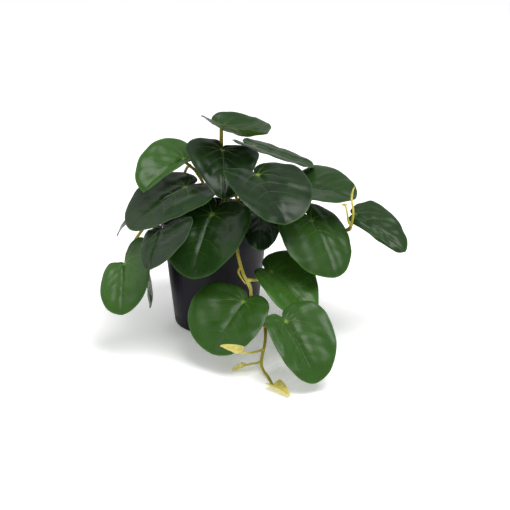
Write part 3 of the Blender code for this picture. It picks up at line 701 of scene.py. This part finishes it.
def blade(name, leaf, finishes, thick=BLADE_THICK, steps=BLADE_STEPS, shares=RING_SHARES, quilt=1.0):
    """A closed blade of even thickness that thins to a rounded edge, with its flat shares kept for the
    skin's pattern. The steps crowd at the tip and behind the joint."""
    chance = np.random.default_rng(sum(ord(letter) for letter in name))
    turn = 2 * np.pi * np.arange(steps) / steps
    turn = turn - STEP_CROWDING * np.sin(2 * turn)
    edge = outline_radius(np.degrees(turn))
    share = np.concatenate([[0.0]] + [np.full(steps, s) for s in shares])
    radius = np.concatenate([[0.0]] + [edge * s for s in shares])
    angle = np.concatenate([[0.0]] + [turn] * len(shares))
    x = radius * np.cos(angle)
    y = radius * np.sin(angle)
    base, length, ahead, left, face = leaf_axes(leaf)
    relief = quilt * quilting(x, y, share, length, chance) / length
    along, out, high = bend(x, y, leaf, relief)
    tip_x, _, tip_z = bend(np.array([1.0]), np.array([0.0]), leaf)
    reach = math.hypot(tip_x[0], tip_z[0])
    local_x = (along * tip_x[0] + high * tip_z[0]) / reach ** 2
    local_z = (high * tip_x[0] - along * tip_z[0]) / reach ** 2
    middle = np.array(base) + length * (np.outer(local_x, ahead) + np.outer(out / reach, left)
                                      + np.outer(local_z, face))
    faces = blade_faces(steps, len(shares))
    normals = point_normals(middle, faces)
    half = thick / 2 * np.sqrt(np.clip(1 - share ** THIN_POWER, 0, 1))[:, None]
    rim_start = len(middle) - steps
    upper = middle + normals * half
    lower = (middle - normals * half)[:rim_start]
    points = np.concatenate([upper, lower])
    under = []
    for corner in faces:
        turned = [i if i >= rim_start else i + len(middle) for i in corner]
        under.append(tuple(reversed(turned)))
    thing = mesh_object(name, points, faces + under, finishes)
    side = np.zeros(len(faces) * 2, dtype=np.int32)
    side[len(faces):] = len(finishes) - 1
    thing.data.polygons.foreach_set("material_index", side)
    flat = np.stack([x, y, share], axis=1)
    flat = np.concatenate([flat, flat[:rim_start]])
    thing.data.attributes.new("leaf_flat", "FLOAT_VECTOR", "POINT").data.foreach_set("vector", flat.ravel())
    # Each leaf's tone, with its painted shade and light, goes on every point.
    tone = np.full(len(points), leaf.get("tone", 0.5))
    thing.data.attributes.new("tone", "FLOAT", "POINT").data.foreach_set("value", tone)
    return thing


def smooth_path(points, step):
    """Points every few millimetres along a smooth curve through the given ones."""
    knots = [Vector(point) for point in points]
    knots = [2 * knots[0] - knots[1]] + knots + [2 * knots[-1] - knots[-2]]
    path = []
    for i in range(1, len(knots) - 2):
        p0, p1, p2, p3 = knots[i - 1:i + 3]
        count = max(1, round((p2 - p1).length / step))
        for k in range(count):
            t = k / count
            path.append(0.5 * (2 * p1 + (p2 - p0) * t + (2 * p0 - 5 * p1 + 4 * p2 - p3) * t ** 2
                               + (3 * p1 - p0 - 3 * p2 + p3) * t ** 3))
    path.append(knots[-2])
    return path


def to_leaf(points, leaf):
    """Carry a stem's points on into the blade's underside at the joint."""
    base, length, ahead, left, face = leaf_axes(leaf)
    lean = leaf.get("lean", PETIOLE_LEAN)
    run_in = (face + ahead * lean).normalized()
    end = base - face * (CAD_THICK / 2 + JOINT_ROOM + PETIOLE_RADIUS * lean / math.hypot(1, lean))
    reach = min(RUN_IN, 0.5 * (end - Vector(points[-1])).length)
    return list(points) + [end - run_in * reach, end, base - face * JOINT_BITE]


def tube(work, points, root_radius, tip_radius, knobs=()):
    """Add a closed tube to a bmesh, with a low swelling at each share in knobs."""
    path = smooth_path(points, TUBE_STEP)
    count = len(path)
    normal = (path[1] - path[0]).orthogonal().normalized()
    rings = []
    for i, place in enumerate(path):
        heading = (path[min(i + 1, count - 1)] - path[max(i - 1, 0)]).normalized()
        normal = (normal - heading * normal.dot(heading)).normalized()
        across = heading.cross(normal)
        share = i / (count - 1)
        radius = root_radius + (tip_radius - root_radius) * share
        for knob in knobs:
            radius += KNOB_HEIGHT * math.exp(-((share - knob) * count * TUBE_STEP / KNOB_LENGTH) ** 2)
        ring = []
        for k in range(TUBE_SIDES):
            angle = 2 * math.pi * k / TUBE_SIDES
            spot = place + radius * (normal * math.cos(angle) + across * math.sin(angle))
            ring.append(work.verts.new(spot * MM))
        rings.append(ring)
    for low, high in zip(rings, rings[1:]):
        for k in range(TUBE_SIDES):
            m = (k + 1) % TUBE_SIDES
            work.faces.new((low[k], low[m], high[m], high[k]))
    work.faces.new(tuple(reversed(rings[0])))
    work.faces.new(tuple(rings[-1]))


def stem(name, row, finish):
    """One leafy stem: its tubes grown together by a fine remesh, then smoothed."""
    work = bmesh.new()
    run = [(*row["root"], height) for height in ROOT_HEIGHTS] + list(row["run"])
    if "run_leaf" in row:
        run = to_leaf(run, LEAVES[row["run_leaf"]])
    girth = row.get("girth", 1)
    tube(work, run, girth * STEM_RADIUS, girth * PETIOLE_RADIUS, STEM_KNOBS)
    for leaf, points in row.get("petioles", ()):
        points = to_leaf(points, LEAVES[leaf])
        tube(work, points, PETIOLE_RADIUS + PETIOLE_FLARE, PETIOLE_TAPER * PETIOLE_RADIUS, PETIOLE_KNOBS)
    for points, root_radius, tip_radius in row.get("shoots", ()):
        tube(work, points, root_radius, tip_radius)
    mesh = bpy.data.meshes.new(name)
    work.to_mesh(mesh)
    work.free()
    thing = bpy.data.objects.new(name + "_grown", mesh)
    bpy.context.scene.collection.objects.link(thing)
    melt = thing.modifiers.new("melt", "REMESH")
    melt.mode = "VOXEL"
    melt.voxel_size = STEM_VOXEL * MM
    melt.use_smooth_shade = True
    relax = thing.modifiers.new("relax", "SMOOTH")
    relax.iterations = STEM_SMOOTHING
    relax.factor = 0.5
    keep_evaluated(thing)
    thing.data.materials.clear()
    thing.data.materials.append(finish)
    places = np.empty(len(thing.data.vertices) * 3)
    thing.data.vertices.foreach_get("co", places)
    places = places.reshape(-1, 3) / MM
    young = np.full(len(places), OLD_GROWTH)
    for points, _, _ in row.get("shoots", ()):
        away = np.linalg.norm(places - np.array(points[-1]), axis=1)
        young = np.maximum(young, NEW_GROWTH * np.exp(-(away / YOUNG_REACH) ** 2))
    thing.data.attributes.new("young", "FLOAT", "POINT").data.foreach_set("value", young)
    dress(thing, "stem_olive", name)


def bud(name, root, tip, width, roll, finish):
    """An unopened leaf: a small pointed blade with its halves folded up along the rib."""
    start = Vector(root)
    along = Vector(tip) - start
    spread = width / along.length / BUD_FULLNESS
    leaf = dict(BUD_FORM, base=tuple(start + along * BUD_STALK), tip=tip, roll=roll, wide=(spread, spread))
    thing = blade(name, leaf, [finish], BUD_THICK, BUD_STEPS, BUD_RINGS, BUD_QUILT)
    dress(thing, "stem_olive")


def wall_radius(height):
    """The pot's outer radius at a height."""
    return FOOT_RADIUS + (RIM_RADIUS - FOOT_RADIUS) * height / POT_HEIGHT


def arc(centre, radius, start, end, count):
    """Points of a pot profile round a centre, from one angle in degrees to another."""
    return [(centre[0] + radius * math.cos(math.radians(start + (end - start) * i / count)),
             centre[1] + radius * math.sin(math.radians(start + (end - start) * i / count)))
            for i in range(count + 1)]


def turned(name, profile, sides, finish):
    """A body of revolution from (radius, height) points that start and end on the axis."""
    points = []
    rings = []
    for radius, height in profile:
        if radius == 0:
            rings.append([len(points)])
            points.append((0, 0, height))
            continue
        rings.append(list(range(len(points), len(points) + sides)))
        for i in range(sides):
            angle = 2 * math.pi * i / sides
            points.append((radius * math.cos(angle), radius * math.sin(angle), height))
    faces = []
    for upper, lower in zip(rings, rings[1:]):
        for i in range(sides):
            j = (i + 1) % sides
            if len(upper) == 1:
                faces.append((upper[0], lower[i], lower[j]))
            elif len(lower) == 1:
                faces.append((upper[j], upper[i], lower[0]))
            else:
                faces.append((upper[j], upper[i], lower[i], lower[j]))
    return mesh_object(name, points, faces, [finish])


def pot(finish):
    """The thin pot: tapered wall, rolled lip, a shallow ring at the foot and drain holes."""
    inner_top = RIM_RADIUS - WALL
    lip_radius = RIM_RADIUS + LIP_OUT
    lip_round = (lip_radius - inner_top) / 2
    lip_foot = POT_HEIGHT - LIP_HEIGHT
    floor_edge = wall_radius(POT_FLOOR) - WALL
    profile = [(0, POT_FLOOR), (floor_edge - INNER_CORNER, POT_FLOOR),
               (floor_edge, POT_FLOOR + INNER_CORNER)]
    profile += [(wall_radius(height) - WALL, height) for height in WALL_HEIGHTS]
    profile += [(inner_top, POT_HEIGHT - lip_round)]
    profile += arc((inner_top + lip_round, POT_HEIGHT - lip_round), lip_round, 180, 0, 12)[1:]
    profile += arc((lip_radius - LIP_EDGE, lip_foot + LIP_EDGE), LIP_EDGE, 0, -90, 4)
    profile += [(wall_radius(lip_foot) + LIP_ROOT, lip_foot), (wall_radius(lip_foot), lip_foot - LIP_ROOT)]
    profile += [(wall_radius(height), height) for height in reversed(WALL_HEIGHTS)]
    for height, depth in ((RING_TOP, 0), (RING_TOP - RING_SLOPE, RING_DEPTH),
                          (RING_FOOT + RING_SLOPE, RING_DEPTH), (RING_FOOT, 0)):
        profile += [(wall_radius(height) - depth, height)]
    profile += arc((wall_radius(FOOT_ROUND) - FOOT_ROUND, FOOT_ROUND), FOOT_ROUND, 0, -90, 8)
    profile += [(FOOT_FLAT, 0), (0, 0)]
    body = turned("nursery_pot", profile, POT_SIDES, finish)
    group = bpy.data.collections.new("drains")
    bpy.context.scene.collection.children.link(group)
    for i in range(DRAIN_HOLES):
        angle = 2 * math.pi * i / DRAIN_HOLES
        bpy.ops.mesh.primitive_cylinder_add(vertices=DRAIN_SIDES, radius=DRAIN_RADIUS * MM,
                                            depth=4 * POT_FLOOR * MM)
        drain = bpy.context.object
        drain.location = (DRAIN_RING * MM * math.cos(angle), DRAIN_RING * MM * math.sin(angle), 0)
        group.objects.link(drain)
    cut = body.modifiers.new("drains", "BOOLEAN")
    cut.operation = "DIFFERENCE"
    cut.operand_type = "COLLECTION"
    cut.collection = group
    keep_evaluated(body)
    for drain in list(group.objects):
        bpy.data.objects.remove(drain, do_unlink=True)
    bpy.data.collections.remove(group)
    body.data.set_sharp_from_angle(angle=math.radians(POT_SHARP_DEG))
    dress(body, "pot_plastic", "pot")


def soil_height(x, y):
    """Height of the heap: a low dome off the middle, with lumps."""
    away = math.hypot(x - HEAP_CENTRE[0], y - HEAP_CENTRE[1]) / RIM_RADIUS
    dome = SOIL_HEAP * max(0.0, 1 - away * away)
    return SOIL_EDGE + dome + SOIL_LUMP * noise.noise(Vector((x, y, 0)) * LUMP_PITCH)


def soil_top(x, y, edge):
    """The heap's height, brought down to the fill line at the pot's wall."""
    fall = 1 - min(1.0, (math.hypot(x, y) / edge) ** 4)
    return SOIL_EDGE + (soil_height(x, y) - SOIL_EDGE) * fall


def soil(finish, crumb_kinds):
    """The heap, then its loose crumbs of each kind as (finish, how many, size)."""
    floor = POT_FLOOR + CLEAR
    edge = wall_radius(SOIL_EDGE - SOIL_SIDE) - WALL - CLEAR
    profile = [(0, SOIL_EDGE)] + [(edge * i / SOIL_RINGS, SOIL_EDGE) for i in range(1, SOIL_RINGS)]
    profile += [(edge, SOIL_EDGE - SOIL_SIDE), (wall_radius(floor) - WALL - CLEAR, floor), (0, floor)]
    body = turned("soil_heap", profile, POT_SIDES, finish)
    for point in body.data.vertices:
        if point.co.z > (SOIL_EDGE - 1) * MM:
            x = point.co.x / MM
            y = point.co.y / MM
            grains = 0
            for height, pitch, layer in SOIL_GRAINS:
                grains += height * noise.noise(Vector((x, y, layer)) * pitch)
            point.co.z = (soil_top(x, y, edge) + grains) * MM
    dress(body, "potting_soil", "soil")

    chance = random.Random(CRUMB_SEED)
    for kind, (crumb_finish, count, size) in enumerate(crumb_kinds):
        work = bmesh.new()
        for _ in range(count):
            away = edge * CRUMB_REACH * math.sqrt(chance.random())
            angle = chance.uniform(0, 2 * math.pi)
            x = away * math.cos(angle)
            y = away * math.sin(angle)
            scale = size * chance.uniform(*CRUMB_SCALES)
            lump = bmesh.ops.create_icosphere(work, subdivisions=2, radius=scale * MM)["verts"]
            drift = Vector([chance.uniform(0, CRUMB_NOISE) for _ in range(3)])
            squeeze = Vector([chance.uniform(*CRUMB_SQUEEZE) for _ in range(3)])
            spin = Euler([chance.uniform(0, CRUMB_SPIN) for _ in range(3)]).to_matrix()
            seat = Vector((x, y, soil_top(x, y, edge) + CRUMB_SEAT * scale)) * MM
            for vert in lump:
                rough = 1 + CRUMB_ROUGH * noise.noise(vert.co / (scale * MM) * CRUMB_PITCH + drift)
                vert.co = spin @ (vert.co * squeeze * rough) + seat
        mesh = bpy.data.meshes.new("crumbs")
        work.to_mesh(mesh)
        work.free()
        mesh.materials.append(crumb_finish)
        mesh.shade_smooth()
        crumbs = bpy.data.objects.new("soil_crumbs_%d" % (kind + 1), mesh)
        bpy.context.scene.collection.objects.link(crumbs)
        dress(crumbs, "potting_soil")


def stage():
    """Plain pale floor, a wide soft key high on the viewer's right, a fill on the left, and a dome that is
    brightest above."""
    made, _, shader, _ = new_material("white_studio_floor")
    shader.inputs["Base Color"].default_value = linear("fcfcfc")
    shader.inputs["Roughness"].default_value = 0.9
    shader.inputs["Specular IOR Level"].default_value = 0.1
    shader.inputs["Emission Color"].default_value = linear("ffffff")
    shader.inputs["Emission Strength"].default_value = FLOOR_GLOW
    bpy.ops.mesh.primitive_plane_add(size=FLOOR_SIZE, location=FLOOR_PLACE)
    floor = bpy.context.object
    floor.name = "studio_floor"
    floor.data.materials.append(made)

    world = bpy.data.worlds.new("studio")
    bpy.context.scene.world = world
    world.use_nodes = True
    tree = world.node_tree
    back = tree.nodes["Background"]
    toward = add(tree, "ShaderNodeTexCoord").outputs["Generated"]
    facing = add(tree, "ShaderNodeVectorMath", {"operation": "DOT_PRODUCT"},
                 {0: toward, 1: DOME_BRIGHTEST}).outputs["Value"]
    glow = add(tree, "ShaderNodeMapRange", {"interpolation_type": "SMOOTHSTEP"},
               {"Value": facing, "From Min": DOME_FADE[0], "From Max": DOME_FADE[1],
                "To Min": DOME_LOW, "To Max": DOME_HIGH})
    back.inputs["Color"].default_value = linear("fdfdff")
    tree.links.new(glow.outputs[0], back.inputs["Strength"])
    for name, place, size, power in LIGHTS:
        data = bpy.data.lights.new(name, "AREA")
        data.size = size
        data.energy = power
        lamp = bpy.data.objects.new(name, data)
        bpy.context.scene.collection.objects.link(lamp)
        lamp.location = place
        lamp.rotation_euler = (LIGHT_AIM - Vector(place)).to_track_quat("-Z", "Y").to_euler()


def camera():
    """The camera as it stood for the photograph."""
    data = bpy.data.cameras.new("photo_camera")
    data.sensor_width = SENSOR_MM
    data.lens = SENSOR_MM * FOCAL_PX / FRAME_PX
    data.clip_start = CLIP_START
    view = bpy.data.objects.new("photo_camera", data)
    bpy.context.scene.collection.objects.link(view)
    view.location = Vector(CAMERA_MM) * MM
    view.rotation_euler = (math.radians(90 - PITCH_DEG), 0, 0)
    bpy.context.scene.camera = view


def build():
    camera()
    stage()
    bpy.context.scene.view_settings.view_transform = "Standard"
    upper = leaf_skin("pothos_leaf_face", deep="12260f", light="3b6421", vein="7f9d3f", rim="4a7430",
                      roughness=0.3, gloss=0.27)
    under = leaf_skin("pothos_leaf_underside", deep="33521c", light="58782c", vein="a5b44e", rim="7d9a3c",
                      roughness=0.5, gloss=0.3)
    stems = stem_skin()
    young = young_leaf_skin()
    for name, leaf in LEAVES.items():
        thing = blade("blade_" + name, leaf, [upper, under])
        dress(thing, "leaf_green", "leaf_" + name)
    for name, row in STEMS.items():
        stem(name, row, stems)
        for i, (root, tip, width, roll) in enumerate(row.get("buds", ())):
            bud("%s_bud_%d" % (name, i + 1), root, tip, width, roll, young)
    pot(pot_plastic())
    brown = peat("peat_mix", "120d0a", "2c2019")
    bark = peat("bark_crumb", "1e140d", "4a3626")
    soil(brown, ((brown, PEAT_CRUMBS, PEAT_CRUMB_SIZE), (bark, BARK_CRUMBS, BARK_CRUMB_SIZE)))


build()
